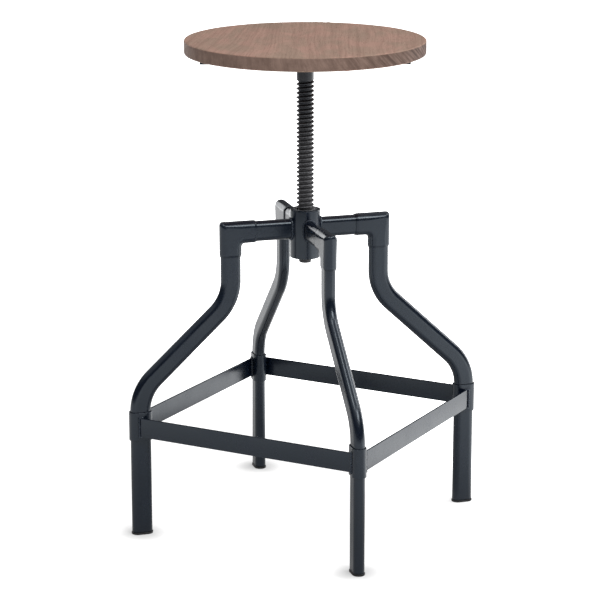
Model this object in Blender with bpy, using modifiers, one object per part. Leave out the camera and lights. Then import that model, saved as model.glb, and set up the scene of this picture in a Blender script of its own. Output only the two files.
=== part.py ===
"""Adjustable screw-lift stool: a round wooden seat on a threaded screw, four bent legs and a square footrest.

Metres, +Z up, the floor at z = 0 and the screw on the Z axis. The legs stand on the diagonals, so the four
bars of the footrest run along X and Y. Everything for one leg is modelled in the XZ plane, with the leg
leaning out along +X, under an empty that turns it onto its own diagonal.
"""

import math

import bmesh
import bpy
from mathutils import Matrix, Vector

# ---- Overall sizes ------------------------------------------------------------------------------------------
SEAT_HEIGHT = 0.684          # floor to the top of the seat, wound right up
SEAT_RADIUS = 0.165
SEAT_THICKNESS = 0.019
ARM_HEIGHT = 0.4214          # floor to the middle of the arms
LEG_REACH_TOP = 0.1071       # axis to the middle of a leg under its elbow
LEG_REACH_FOOT = 0.2376      # axis to the middle of a leg at the floor

# ---- Flat oval tube -----------------------------------------------------------------------------------------
TUBE_WIDE = 0.0286
TUBE_NARROW = 0.0159
TUBE_WALL = 0.0013
OVAL_STEPS = 6               # straight pieces in each half-round side of an oval

# ---- Fits ---------------------------------------------------------------------------------------------------
GAP = 0.0003                 # between pieces that touch
THREAD_CLEARANCE = 0.0004

# ---- Legs ---------------------------------------------------------------------------------------------------
LEG_BEND_RADIUS = 0.0635
LEG_STRAIGHT_UNDER_ELBOW = 0.0331
LEG_BEND_STEPS = 8
LEG_ARM_SPACE = 0.0028       # inside the elbow, between the end of the leg and the end of the arm

# ---- Elbows -------------------------------------------------------------------------------------------------
ELBOW_WALL = 0.0012
ELBOW_ARM_SLEEVE = 0.0355    # length of the sleeve on the arm, from the middle of the leg
ELBOW_LEG_SLEEVE = 0.0337    # length of the sleeve on the leg, from the middle of the arm
ELBOW_INNER_RADIUS = 0.0045
ELBOW_CORNER_RADIUS = 0.0012
ELBOW_ARC_STEPS = 5

# ---- Hub, nut and screw -------------------------------------------------------------------------------------
HUB_RADIUS = 0.0212
HUB_WALL = 0.0042
HUB_ABOVE_ARM = 0.0129
HUB_BELOW_ARM = 0.0264
HUB_CHAMFER = 0.0008
NUT_LENGTH = 0.030
SCREW_RADIUS = 0.0123
THREAD_DEPTH = 0.0032
THREAD_PITCH = 0.0061
THREAD_CREST = 0.0017        # flat along the top of the thread
THREAD_ROOT = 0.0020         # flat along the bottom of the thread
THREAD_STEPS = 16            # straight pieces in one turn
THREAD_PHASE = math.radians(34.8)    # turns the thread about its axis
SCREW_END_LENGTH = 0.0078    # plain end that shows under the hub
SCREW_SPIGOT_RADIUS = 0.0086
NECK_RADIUS = 0.0119
NECK_LENGTH = 0.0335

# ---- Seat bracket and wood screws ---------------------------------------------------------------------------
BRACKET_REACH = 0.143
BRACKET_WIDTH = 0.032
BRACKET_DEPTH = 0.0132       # from the top of the channel to the lower edge of its sides
BRACKET_THICKNESS = 0.003    # of the flat top that lies against the seat
BRACKET_SIDE = 0.0022        # thickness of the two sides
BRACKET_BEND = 0.003         # outside radius of the two folds
BRACKET_TURN = math.radians(28.7)
WOOD_SCREW_REACHES = (0.128, 0.060, -0.060, -0.128)
WOOD_SCREW_RADIUS = 0.0021
WOOD_SCREW_LENGTH = 0.016
WOOD_SCREW_HEAD_RADIUS = 0.0043
WOOD_SCREW_HEAD_HEIGHT = 0.0024

# ---- Seat edge ----------------------------------------------------------------------------------------------
SEAT_TOP_ROUND = 0.0028
SEAT_BOTTOM_ROUND = 0.0035

# ---- Footrest -----------------------------------------------------------------------------------------------
COLLAR_BOTTOM = 0.1372
COLLAR_HEIGHT = 0.0406
COLLAR_WALL = 0.0016
BAR_BOTTOM = 0.1432
BAR_HEIGHT = 0.0272
BAR_THICKNESS = 0.003
BAR_WELD_OUT = 0.0016        # the bar's middle line meets the collar's flat this much outward of its middle

# ---- Feet ---------------------------------------------------------------------------------------------------
FOOT_FLANGE_HEIGHT = 0.003
FOOT_FLANGE_PROUD = 0.0008
FOOT_INSERT_HEIGHT = 0.016

# ---- Worked out from the sizes above ------------------------------------------------------------------------
SEAT_BOTTOM = SEAT_HEIGHT - SEAT_THICKNESS
BRACKET_TOP = SEAT_BOTTOM - GAP
BRACKET_BOTTOM = BRACKET_TOP - BRACKET_THICKNESS
NECK_TOP = BRACKET_BOTTOM - GAP
NECK_BOTTOM = NECK_TOP - NECK_LENGTH
HUB_TOP = ARM_HEIGHT + TUBE_WIDE / 2 + HUB_ABOVE_ARM
HUB_BOTTOM = ARM_HEIGHT - TUBE_WIDE / 2 - HUB_BELOW_ARM
HUB_BORE = HUB_RADIUS - HUB_WALL
SCREW_BOTTOM = HUB_BOTTOM - SCREW_END_LENGTH
THREAD_TOP = NECK_BOTTOM - GAP
COLLAR_TOP = COLLAR_BOTTOM + COLLAR_HEIGHT
COLLAR_NARROW = TUBE_NARROW + 2 * (GAP + COLLAR_WALL)
ELBOW_HALF_WIDE = TUBE_WIDE / 2 + GAP + ELBOW_WALL
ELBOW_HALF_NARROW = TUBE_NARROW / 2 + GAP + ELBOW_WALL
ELBOW_BOTTOM = ARM_HEIGHT - ELBOW_LEG_SLEEVE
LEG_TOP = ARM_HEIGHT - TUBE_WIDE / 2 - LEG_ARM_SPACE
ARM_END = LEG_REACH_TOP - TUBE_WIDE / 2 - LEG_ARM_SPACE
HALF_TURN = math.pi / 2

CORNERS = {"front_right": -45, "back_right": 45, "back_left": 135, "front_left": 225}
SIDES = {"front": 0, "right": 90, "back": 180, "left": 270}

# ---- Scene and collections ----------------------------------------------------------------------------------
for old in list(bpy.data.objects):
    bpy.data.objects.remove(old, do_unlink=True)


def new_collection(name):
    """Add an empty collection to the scene."""
    collection = bpy.data.collections.new(name)
    bpy.context.scene.collection.children.link(collection)
    return collection


PARTS = new_collection("swivel_stool")
CUTTERS = new_collection("cutters")


def material(name, colour, roughness, metallic):
    """A Principled material of one plain colour."""
    made = bpy.data.materials.new(name)
    made.use_nodes = True
    shader = made.node_tree.nodes["Principled BSDF"]
    shader.inputs["Base Color"].default_value = (*colour, 1.0)
    shader.inputs["Roughness"].default_value = roughness
    shader.inputs["Metallic"].default_value = metallic
    return made


FINISHES = {
    "wood": ((0.36, 0.25, 0.20), 0.55, 0.0),
    "powder_coat": ((0.034, 0.038, 0.045), 0.42, 0.0),
    "screw_steel": ((0.045, 0.046, 0.050), 0.36, 0.6),
    "zinc": ((0.42, 0.42, 0.43), 0.40, 1.0),
    "black_plastic": ((0.015, 0.016, 0.018), 0.50, 0.0),
}


def add(name, data, finish=None, parent=None, collection=PARTS):
    """Put data into the scene as one named object with a material of its own."""
    thing = bpy.data.objects.new(name, data)
    collection.objects.link(thing)
    if finish:
        data.materials.append(material(name + "_" + finish, *FINISHES[finish]))
    thing.parent = parent
    return thing


def empty(name, location=(0, 0, 0), turn=0.0):
    """An empty that carries pieces, turned about Z."""
    holder = bpy.data.objects.new(name, None)
    PARTS.objects.link(holder)
    holder.location = location
    holder.rotation_euler.z = turn
    return holder


# ---- Shapes -------------------------------------------------------------------------------------------------
def arc(centre, radius, start, end, steps):
    """Points of a round corner, angles in radians."""
    span = end - start
    angles = [start + span * step / steps for step in range(steps + 1)]
    return [(centre[0] + radius * math.cos(a), centre[1] + radius * math.sin(a)) for a in angles]


def oval(wide, narrow):
    """Outline of a flat oval: two half circles joined by straight sides, its width along X."""
    reach = (wide - narrow) / 2
    right = arc((reach, 0), narrow / 2, -HALF_TURN, HALF_TURN, OVAL_STEPS)
    left = arc((-reach, 0), narrow / 2, HALF_TURN, 3 * HALF_TURN, OVAL_STEPS)
    return right + left


def flat_curve(name, outlines, thickness, bevel=0.0, bevel_steps=0):
    """A filled 2D curve as thick as asked, its middle at z = 0; a second outline is a hole."""
    curve = bpy.data.curves.new(name, "CURVE")
    curve.dimensions = "2D"
    curve.fill_mode = "BOTH"
    curve.extrude = thickness / 2
    curve.bevel_depth = bevel
    curve.bevel_resolution = bevel_steps
    for outline in outlines:
        spline = curve.splines.new("POLY")
        spline.points.add(len(outline) - 1)
        spline.use_cyclic_u = True
        for point, (x, y) in zip(spline.points, outline):
            point.co = (x, y, 0, 1)
    return curve


def as_mesh(thing):
    """The object's shape with its modifiers applied, as a closed mesh in its own coordinates."""
    bpy.context.view_layer.update()
    graph = bpy.context.evaluated_depsgraph_get()
    shape = bpy.data.meshes.new_from_object(thing.evaluated_get(graph))
    soft = bmesh.new()
    soft.from_mesh(shape)
    bmesh.ops.remove_doubles(soft, verts=soft.verts, dist=1e-6)
    bmesh.ops.recalc_face_normals(soft, faces=soft.faces)
    soft.to_mesh(shape)
    soft.free()
    return shape


def curve_mesh(name, curve):
    """A curve turned into a mesh of the given name."""
    source = bpy.data.objects.new(name + "_curve", curve)
    CUTTERS.objects.link(source)
    shape = as_mesh(source)
    shape.name = name
    bpy.data.objects.remove(source, do_unlink=True)
    return shape


def cutter(name, data, parent=None):
    """An object that only cuts."""
    tool = add(name, data, parent=parent, collection=CUTTERS)
    tool.hide_render = True
    tool.display_type = "WIRE"
    return tool


def boolean(target, tool, operation="DIFFERENCE"):
    """Cut target with tool, or join it on."""
    step = target.modifiers.new(tool.name, "BOOLEAN")
    step.operation = operation
    step.object = tool
    step.solver = "EXACT"


def box_mesh(name, low, high):
    """A box between two corners."""
    cube = bmesh.new()
    bmesh.ops.create_cube(cube, size=1.0)
    low, high = Vector(low), Vector(high)
    bmesh.ops.scale(cube, verts=cube.verts, vec=high - low)
    bmesh.ops.translate(cube, verts=cube.verts, vec=(low + high) / 2)
    shape = bpy.data.meshes.new(name)
    cube.to_mesh(shape)
    cube.free()
    return shape


def rod_mesh(name, radius, low, high, sides, at=(0.0, 0.0)):
    """A cylinder along Z between two heights."""
    rod = bmesh.new()
    middle = Matrix.Translation((at[0], at[1], (low + high) / 2))
    bmesh.ops.create_cone(rod, cap_ends=True, segments=sides, radius1=radius, radius2=radius,
                          depth=high - low, matrix=middle)
    shape = bpy.data.meshes.new(name)
    rod.to_mesh(shape)
    rod.free()
    return shape


def profile_mesh(name, points, closed):
    """A profile of edges in the XZ plane, from (radius, height) points."""
    line = bmesh.new()
    corners = [line.verts.new((radius, 0, height)) for radius, height in points]
    for first, second in zip(corners, corners[1:]):
        line.edges.new((first, second))
    if closed:
        line.edges.new((corners[-1], corners[0]))
    shape = bpy.data.meshes.new(name)
    line.to_mesh(shape)
    line.free()
    return shape


def spin(thing, steps):
    """Turn a profile right round Z with a Screw modifier."""
    turn = thing.modifiers.new("turn", "SCREW")
    turn.steps = steps
    turn.render_steps = steps
    turn.use_merge_vertices = True
    turn.merge_threshold = 1e-5
    turn.use_normal_calculate = True


def turned(name, points, finish, parent=None, steps=48, closed=False):
    """A turned piece: a profile that starts and ends on the axis, or a closed one for a ring."""
    thing = add(name, profile_mesh(name, points, closed), finish, parent)
    spin(thing, steps)
    return thing


def ring(inner, outer, low, high, chamfer):
    """Closed profile of a ring with its outer edges chamfered."""
    return [(inner, low), (outer - chamfer, low), (outer, low + chamfer),
            (outer, high - chamfer), (outer - chamfer, high), (inner, high)]


# ---- Thread -------------------------------------------------------------------------------------------------
def thread_mesh(name, extra, low, high):
    """A right-hand threaded rod between two heights, extra bigger all over than the lift screw.

    One pitch of profile is wound up the axis with a Screw modifier, cut off square at both heights and capped.
    """
    root = SCREW_RADIUS - THREAD_DEPTH + extra
    crest = SCREW_RADIUS + extra
    flank = (THREAD_PITCH - THREAD_CREST - THREAD_ROOT) / 2
    start = THREAD_ROOT / 2 - extra / 2
    profile = [(root, 0), (root, start), (crest, start + flank),
               (crest, THREAD_PITCH - start - flank), (root, THREAD_PITCH - start), (root, THREAD_PITCH)]
    turns = math.ceil((high - low) / THREAD_PITCH) + 3
    source = bpy.data.objects.new(name + "_profile", profile_mesh(name + "_profile", profile, False))
    CUTTERS.objects.link(source)
    wind = source.modifiers.new("wind", "SCREW")
    wind.steps = THREAD_STEPS
    wind.render_steps = THREAD_STEPS
    wind.screw_offset = THREAD_PITCH
    wind.iterations = turns
    shape = as_mesh(source)
    bpy.data.objects.remove(source, do_unlink=True)
    rod = bmesh.new()
    rod.from_mesh(shape)
    whole_turns_down = math.floor(low / THREAD_PITCH) - 1
    bmesh.ops.translate(rod, verts=rod.verts, vec=(0, 0, whole_turns_down * THREAD_PITCH))
    bmesh.ops.rotate(rod, verts=rod.verts, matrix=Matrix.Rotation(THREAD_PHASE, 3, "Z"))
    for height, up in ((high, 1), (low, -1)):
        bmesh.ops.bisect_plane(rod, geom=rod.verts[:] + rod.edges[:] + rod.faces[:], dist=1e-7,
                               plane_co=(0, 0, height), plane_no=(0, 0, up), clear_outer=True)
    bmesh.ops.remove_doubles(rod, verts=rod.verts, dist=1e-6)
    for height in (high, low):
        rim = [edge for edge in rod.edges
               if edge.is_boundary and all(abs(v.co.z - height) < 1e-6 for v in edge.verts)]
        bmesh.ops.contextual_create(rod, geom=rim)
    bmesh.ops.recalc_face_normals(rod, faces=rod.faces)
    rod.to_mesh(shape)
    rod.free()
    shape.name = name
    return shape


# ---- Base: hub and nut --------------------------------------------------------------------------------------
def make_hub():
    """The round hub that the arms are welded to, with the nut that the screw runs in inside its top."""
    shell = ring(HUB_BORE, HUB_RADIUS, HUB_BOTTOM, HUB_TOP, HUB_CHAMFER)
    turned("hub", shell, "powder_coat", closed=True)
    nut_bottom = HUB_TOP - NUT_LENGTH
    bore = SCREW_RADIUS - THREAD_DEPTH
    blank = ring(bore, HUB_BORE - GAP, nut_bottom, HUB_TOP, HUB_CHAMFER / 2)
    nut = turned("hub_nut", blank, "powder_coat", steps=32, closed=True)
    spare = 2 * THREAD_PITCH
    thread = thread_mesh("nut_thread", THREAD_CLEARANCE, nut_bottom - spare, HUB_TOP + spare)
    boolean(nut, cutter("nut_thread", thread))


# ---- Base: one corner ---------------------------------------------------------------------------------------
def make_arm(name, corner):
    """A length of flat oval tube, wide side upright, with its inner end shaped to the hub."""
    start = HUB_RADIUS - TUBE_NARROW / 4
    length = ARM_END - start
    outline = oval(TUBE_WIDE, TUBE_NARROW)
    hollow = oval(TUBE_WIDE - 2 * TUBE_WALL, TUBE_NARROW - 2 * TUBE_WALL)
    shape = curve_mesh(name, flat_curve(name, [outline, hollow], length))
    shape.transform(Matrix.Rotation(HALF_TURN, 4, "Y"))
    arm = add(name, shape, "powder_coat", corner)
    arm.location = (start + length / 2, 0, ARM_HEIGHT)
    fit = rod_mesh(name + "_cope", HUB_RADIUS + GAP * 1.4, HUB_BOTTOM, HUB_TOP, 48)
    boolean(arm, cutter(name + "_cope", fit, corner))


def elbow_form(name, inset, mouth):
    """The L of an elbow, inset from its outside, running past each of its ends by mouth.

    A thin L outline with a round bevel all along it, so that its section is the flat oval of the tube.
    """
    half = ELBOW_HALF_WIDE - ELBOW_HALF_NARROW
    middle_x, middle_z = LEG_REACH_TOP, ARM_HEIGHT
    arm_end = middle_x - ELBOW_ARM_SLEEVE - mouth
    leg_end = ELBOW_BOTTOM - mouth
    bend = ELBOW_INNER_RADIUS + ELBOW_HALF_NARROW
    corner = (middle_x + half - ELBOW_CORNER_RADIUS, middle_z + half - ELBOW_CORNER_RADIUS)
    crook = (middle_x - half - bend, middle_z - half - bend)
    outline = [(arm_end, middle_z + half)]
    outline += arc(corner, ELBOW_CORNER_RADIUS, HALF_TURN, 0, ELBOW_ARC_STEPS)
    outline += [(middle_x + half, leg_end), (middle_x - half, leg_end)]
    outline += arc(crook, bend, 0, HALF_TURN, ELBOW_ARC_STEPS)
    outline += [(arm_end, middle_z - half)]
    bevel = ELBOW_HALF_NARROW - inset
    shape = curve_mesh(name, flat_curve(name, [outline], 0.0, bevel, OVAL_STEPS // 2 - 1))
    shape.transform(Matrix.Rotation(HALF_TURN, 4, "X"))
    return shape


def make_elbow(name, corner):
    """The elbow that slips over the arm and the leg: a hollow L with square ends."""
    reach = 2 * ELBOW_HALF_WIDE
    elbow = add(name, elbow_form(name, 0.0, reach), "powder_coat", corner)
    bore = elbow_form(name + "_bore", ELBOW_WALL, 1.5 * reach)
    boolean(elbow, cutter(name + "_bore", bore, corner))
    arm_end = LEG_REACH_TOP - ELBOW_ARM_SLEEVE
    width = 2 * reach
    arm_trim = box_mesh(name + "_arm_trim", (arm_end - 3 * reach, -width, ARM_HEIGHT - 3 * reach),
                        (arm_end, width, ARM_HEIGHT + reach))
    leg_trim = box_mesh(name + "_leg_trim", (LEG_REACH_TOP - 3 * reach, -width, ELBOW_BOTTOM - 3 * reach),
                        (LEG_REACH_TOP + reach, width, ELBOW_BOTTOM))
    for trim in (arm_trim, leg_trim):
        boolean(elbow, cutter(trim.name, trim, corner))


def leg_route():
    """Middle line of a leg from its top end down: straight, bent out, sloping, bent back and straight.

    The slope follows from how far out and how far down the two bends of one radius have to reach.
    """
    bend_top = ELBOW_BOTTOM - LEG_STRAIGHT_UNDER_ELBOW
    out = LEG_REACH_FOOT - LEG_REACH_TOP
    down = bend_top - COLLAR_TOP
    across = 2 * LEG_BEND_RADIUS
    slope = math.asin(across / math.hypot(down, across - out)) - math.atan2(across - out, down)
    upper = arc((LEG_REACH_TOP + LEG_BEND_RADIUS, bend_top), LEG_BEND_RADIUS,
                math.pi, math.pi + slope, LEG_BEND_STEPS)
    lower = arc((LEG_REACH_FOOT - LEG_BEND_RADIUS, COLLAR_TOP), LEG_BEND_RADIUS,
                slope, 0, LEG_BEND_STEPS)
    foot = (LEG_REACH_FOOT, FOOT_FLANGE_HEIGHT + GAP)
    return [(LEG_REACH_TOP, LEG_TOP)] + upper + lower + [foot]


def make_leg(name, corner):
    """A leg: the flat oval swept down the leg's middle line, then given the wall of the tube."""
    section = flat_curve(name + "_section", [oval(TUBE_WIDE, TUBE_NARROW)[::-1]], 0.0)
    section.fill_mode = "NONE"
    profile = cutter(name + "_section", section)
    route = bpy.data.curves.new(name, "CURVE")
    route.dimensions = "3D"
    route.twist_mode = "MINIMUM"
    route.bevel_mode = "OBJECT"
    route.bevel_object = profile
    spline = route.splines.new("POLY")
    points = leg_route()
    spline.points.add(len(points) - 1)
    for point, (x, z) in zip(spline.points, points):
        point.co = (x, 0, z, 1)
    leg = add(name, route, "powder_coat", corner)
    wall = leg.modifiers.new("wall", "SOLIDIFY")
    wall.thickness = TUBE_WALL
    wall.offset = -1.0


def make_collar(name, corner):
    """The sleeve on the leg that the footrest bars are welded to."""
    inner = oval(TUBE_WIDE + 2 * GAP, TUBE_NARROW + 2 * GAP)
    outer = oval(TUBE_WIDE + 2 * (GAP + COLLAR_WALL), COLLAR_NARROW)
    collar = add(name, flat_curve(name, [outer, inner], COLLAR_HEIGHT), "powder_coat", corner)
    collar.location = (LEG_REACH_FOOT, 0, COLLAR_BOTTOM + COLLAR_HEIGHT / 2)


def make_foot(name, corner):
    """The plastic plug in the end of a leg: a flange to stand on and an insert up the tube."""
    wide = TUBE_WIDE + 2 * FOOT_FLANGE_PROUD
    narrow = TUBE_NARROW + 2 * FOOT_FLANGE_PROUD
    plug = bmesh.new()
    base = plug.faces.new([plug.verts.new((x, y, 0)) for x, y in oval(wide, narrow)])
    flange = bmesh.ops.extrude_face_region(plug, geom=[base])["geom"]
    raised = [item for item in flange if isinstance(item, bmesh.types.BMVert)]
    bmesh.ops.translate(plug, verts=raised, vec=(0, 0, FOOT_FLANGE_HEIGHT))
    top = [item for item in flange if isinstance(item, bmesh.types.BMFace)]
    bmesh.ops.inset_region(plug, faces=top, thickness=FOOT_FLANGE_PROUD + TUBE_WALL + GAP,
                           use_even_offset=True)
    insert = bmesh.ops.extrude_face_region(plug, geom=top)["geom"]
    raised = [item for item in insert if isinstance(item, bmesh.types.BMVert)]
    bmesh.ops.translate(plug, verts=raised, vec=(0, 0, FOOT_INSERT_HEIGHT))
    bmesh.ops.delete(plug, geom=top, context="FACES_ONLY")
    bmesh.ops.recalc_face_normals(plug, faces=plug.faces)
    shape = bpy.data.meshes.new(name)
    plug.to_mesh(shape)
    plug.free()
    foot = add(name, shape, "black_plastic", corner)
    foot.location = (LEG_REACH_FOOT, 0, 0)


# ---- Base: footrest -----------------------------------------------------------------------------------------
def bar_outline():
    """Plan of the front footrest bar: straight, with its ends cut to lie along the flats of the collars."""
    flat = COLLAR_NARROW / 2 + GAP
    reach = (LEG_REACH_FOOT + BAR_WELD_OUT + flat) * math.sqrt(0.5)
    near, far = reach - BAR_THICKNESS / 2, reach + BAR_THICKNESS / 2
    cut = flat * math.sqrt(2)
    return [(far - cut, -far), (near - cut, -near), (cut - near, -near), (cut - far, -far)]


def make_bar(name, turn):
    """One of the four flat bars of the footrest."""
    bar = add(name, flat_curve(name, [bar_outline()], BAR_HEIGHT), "powder_coat")
    bar.location.z = BAR_BOTTOM + BAR_HEIGHT / 2
    bar.rotation_euler.z = math.radians(turn)


# ---- Seat assembly ------------------------------------------------------------------------------------------
def make_lift_screw(parent):
    """The threaded screw: a plain end below, a thread, and a spigot that carries the neck and the bracket."""
    root = SCREW_RADIUS - THREAD_DEPTH
    screw = add("lift_screw", thread_mesh("lift_screw", 0.0, HUB_BOTTOM, THREAD_TOP), "screw_steel", parent)
    overlap = THREAD_PITCH
    end = rod_mesh("screw_end", root - GAP, SCREW_BOTTOM, HUB_BOTTOM + overlap, 32)
    spigot = rod_mesh("screw_spigot", SCREW_SPIGOT_RADIUS, THREAD_TOP - overlap, BRACKET_TOP, 32)
    boolean(screw, cutter("screw_end", end, parent), "UNION")
    boolean(screw, cutter("screw_spigot", spigot, parent), "UNION")


def make_neck(parent):
    """The plain round sleeve between the thread and the bracket."""
    profile = ring(SCREW_SPIGOT_RADIUS + GAP, NECK_RADIUS, NECK_BOTTOM, NECK_TOP, HUB_CHAMFER / 2)
    turned("neck_sleeve", profile, "screw_steel", parent, steps=40, closed=True)


def wood_screw_places():
    """Place in plan of each wood screw, in a row along the bracket."""
    way = Vector((math.cos(BRACKET_TURN), math.sin(BRACKET_TURN)))
    return [tuple(way * reach) for reach in WOOD_SCREW_REACHES]


def channel_outline():
    """Section of the folded channel, its flat top at y = 0 and its sides hanging down."""
    half, side, web, bend = BRACKET_WIDTH / 2, BRACKET_SIDE, BRACKET_THICKNESS, BRACKET_BEND
    inside = bend - side
    right = [(half, -BRACKET_DEPTH)] + arc((half - bend, -bend), bend, 0, HALF_TURN, 4)
    inner = arc((half - side - inside, -web - inside), inside, HALF_TURN, 0, 3)
    return (right + [(-x, y) for x, y in reversed(right)]
            + [(-half + side, -BRACKET_DEPTH)] + [(-x, y) for x, y in reversed(inner)]
            + inner + [(half - side, -BRACKET_DEPTH)])


def make_bracket(parent):
    """The folded steel channel under the seat, open below, with holes for the screws and the spindle."""
    shape = curve_mesh("seat_bracket", flat_curve("seat_bracket", [channel_outline()], 2 * BRACKET_REACH))
    cosine, sine = math.cos(BRACKET_TURN), math.sin(BRACKET_TURN)
    shape.transform(Matrix(((-sine, 0, cosine, 0), (cosine, 0, sine, 0), (0, 1, 0, BRACKET_TOP), (0, 0, 0, 1))))
    bracket = add("seat_bracket", shape, "powder_coat", parent)
    low, high = BRACKET_BOTTOM - BRACKET_THICKNESS, BRACKET_TOP + BRACKET_THICKNESS
    spindle = rod_mesh("bracket_spindle", SCREW_SPIGOT_RADIUS + GAP, low, high, 24)
    boolean(bracket, cutter("bracket_spindle", spindle, parent))
    for number, place in enumerate(wood_screw_places(), 1):
        hole = rod_mesh("bracket_hole_%d" % number, WOOD_SCREW_RADIUS + GAP, low, high, 12, place)
        boolean(bracket, cutter("bracket_hole_%d" % number, hole, parent))


def make_seat(parent):
    """The round wooden seat with softened edges and a pilot hole for each wood screw."""
    top = arc((SEAT_RADIUS - SEAT_TOP_ROUND, SEAT_HEIGHT - SEAT_TOP_ROUND), SEAT_TOP_ROUND, HALF_TURN, 0, 5)
    bottom = arc((SEAT_RADIUS - SEAT_BOTTOM_ROUND, SEAT_BOTTOM + SEAT_BOTTOM_ROUND),
                 SEAT_BOTTOM_ROUND, 0, -HALF_TURN, 4)
    profile = [(0, SEAT_HEIGHT)] + top + bottom + [(0, SEAT_BOTTOM)]
    seat = turned("seat", profile, "wood", parent, steps=72)
    depth = SEAT_BOTTOM - BRACKET_BOTTOM
    deep = SEAT_BOTTOM + WOOD_SCREW_LENGTH - depth + GAP
    for number, place in enumerate(wood_screw_places(), 1):
        pilot = rod_mesh("pilot_%d" % number, WOOD_SCREW_RADIUS + GAP, SEAT_BOTTOM - depth, deep, 12, place)
        boolean(seat, cutter("pilot_%d" % number, pilot, parent))


def make_wood_screws(parent):
    """Four pan-head wood screws that hold the bracket to the seat."""
    under = BRACKET_BOTTOM - GAP
    head, shank = WOOD_SCREW_HEAD_RADIUS, WOOD_SCREW_RADIUS
    tip = BRACKET_BOTTOM + WOOD_SCREW_LENGTH
    profile = [(0, tip), (shank, tip - 2 * shank), (shank, under), (head, under),
               (head, under - WOOD_SCREW_HEAD_HEIGHT / 2), (head * 0.7, under - WOOD_SCREW_HEAD_HEIGHT),
               (0, under - WOOD_SCREW_HEAD_HEIGHT)]
    for number, place in enumerate(wood_screw_places(), 1):
        screw = turned("wood_screw_%d" % number, profile, "zinc", parent, steps=12)
        screw.location = (*place, 0)


# ---- The whole stool ----------------------------------------------------------------------------------------
make_hub()
for corner_name, degrees in CORNERS.items():
    corner_empty = empty("corner_" + corner_name, turn=math.radians(degrees))
    make_arm("arm_" + corner_name, corner_empty)
    make_elbow("elbow_" + corner_name, corner_empty)
    make_leg("leg_" + corner_name, corner_empty)
    make_collar("collar_" + corner_name, corner_empty)
    make_foot("foot_plug_" + corner_name, corner_empty)
for side_name, degrees in SIDES.items():
    make_bar("footrest_bar_" + side_name, degrees)
lift = empty("seat_lift")
swivel = empty("seat_swivel")
swivel.parent = lift
make_neck(lift)
make_lift_screw(swivel)
make_bracket(swivel)
make_seat(swivel)
make_wood_screws(swivel)
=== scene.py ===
import math

import bmesh
import bpy
import numpy as np
from bpy.props import FloatProperty, FloatVectorProperty, PointerProperty
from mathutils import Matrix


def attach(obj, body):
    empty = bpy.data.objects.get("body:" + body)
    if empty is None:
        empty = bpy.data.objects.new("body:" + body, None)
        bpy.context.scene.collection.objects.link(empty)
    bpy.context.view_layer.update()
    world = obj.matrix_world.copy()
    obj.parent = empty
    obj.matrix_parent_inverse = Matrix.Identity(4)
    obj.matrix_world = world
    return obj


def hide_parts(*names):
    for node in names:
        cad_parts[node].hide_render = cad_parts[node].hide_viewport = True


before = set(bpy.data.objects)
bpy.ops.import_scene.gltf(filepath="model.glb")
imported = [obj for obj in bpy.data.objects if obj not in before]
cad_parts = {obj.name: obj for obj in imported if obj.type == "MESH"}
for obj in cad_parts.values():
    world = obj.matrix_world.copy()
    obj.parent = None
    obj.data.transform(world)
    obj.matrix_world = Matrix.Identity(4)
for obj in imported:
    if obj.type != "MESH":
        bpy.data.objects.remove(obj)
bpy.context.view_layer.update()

bl_info = {
    "name": "Swivel stool",
    "version": (1, 0, 0),
    "blender": (4, 5, 0),
    "location": "3D View > Sidebar > Stool",
    "description": "Builds a screw-lift swivel stool piece by piece around its packed frame",
    "category": "Add Mesh",
}

CORNERS = {"front_right": -45.0, "back_right": 45.0, "back_left": 135.0, "front_left": 225.0}
SIDES = {"front": 0.0, "right": 90.0, "back": 180.0, "left": 270.0}
ROUND_STEPS = 18      # steps in each half circle of a flat-sided oval
LIP_STEPS = 6         # steps over the rounded lip of a walled tube
HUB_COLUMNS = 128     # columns around the hub, the nut, the neck and the screw
SCREW_COLUMNS = 64    # columns around a wood screw
SEAT_COLUMNS = 288    # columns around the seat
ROWS_PER_PITCH = 16   # rows in one turn of the thread
STATIONS = (0.0, 0.02, 0.1, 0.3, 0.5, 0.7, 0.9, 0.98, 1.0)  # rings along a short tube, as shares of it
MERGE = 1e-6
FIT = 0.0003          # gap between pieces that fit together
TOUCH = 0.00035       # closes that gap between two welded pieces
BEAD_STEP = 0.0004    # spacing of the points along a weld bead
WELD_CREASE = 60.0    # edges of a bead that turn more than this many degrees stay sharp
AIM_HEIGHT = 0.35     # height that the studio lights point at
FULL_TURN = 2 * math.pi


# ---- Sizes read from the frame -------------------------------------------------------------------

def node_points(node):
    """Corner points of a CAD node's mesh, one row each."""
    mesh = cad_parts[node].data
    points = np.empty(len(mesh.vertices) * 3)
    mesh.vertices.foreach_get("co", points)
    return points.reshape(-1, 3)


def turned(points, degrees):
    """Points turned about the upright axis: out * cosine - side * sine, and out * sine + side * cosine."""
    cosine, sine = math.cos(math.radians(degrees)), math.sin(math.radians(degrees))
    return points @ np.array([[cosine, sine, 0.0], [-sine, cosine, 0.0], [0.0, 0.0, 1.0]])


def spread(node, degrees=0.0):
    """Lowest and highest (out, side, up) of a CAD node, in the frame of the corner that it stands at."""
    points = turned(node_points(node), -degrees)
    return points.min(axis=0), points.max(axis=0)


def radii(node, low=0.0):
    """Smallest and largest distance from the upright axis of a node's points above a height."""
    points = node_points(node)
    above = points[points[:, 2] >= low]
    reach = np.hypot(above[:, 0], above[:, 1])
    return reach.min(), reach.max()


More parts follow.
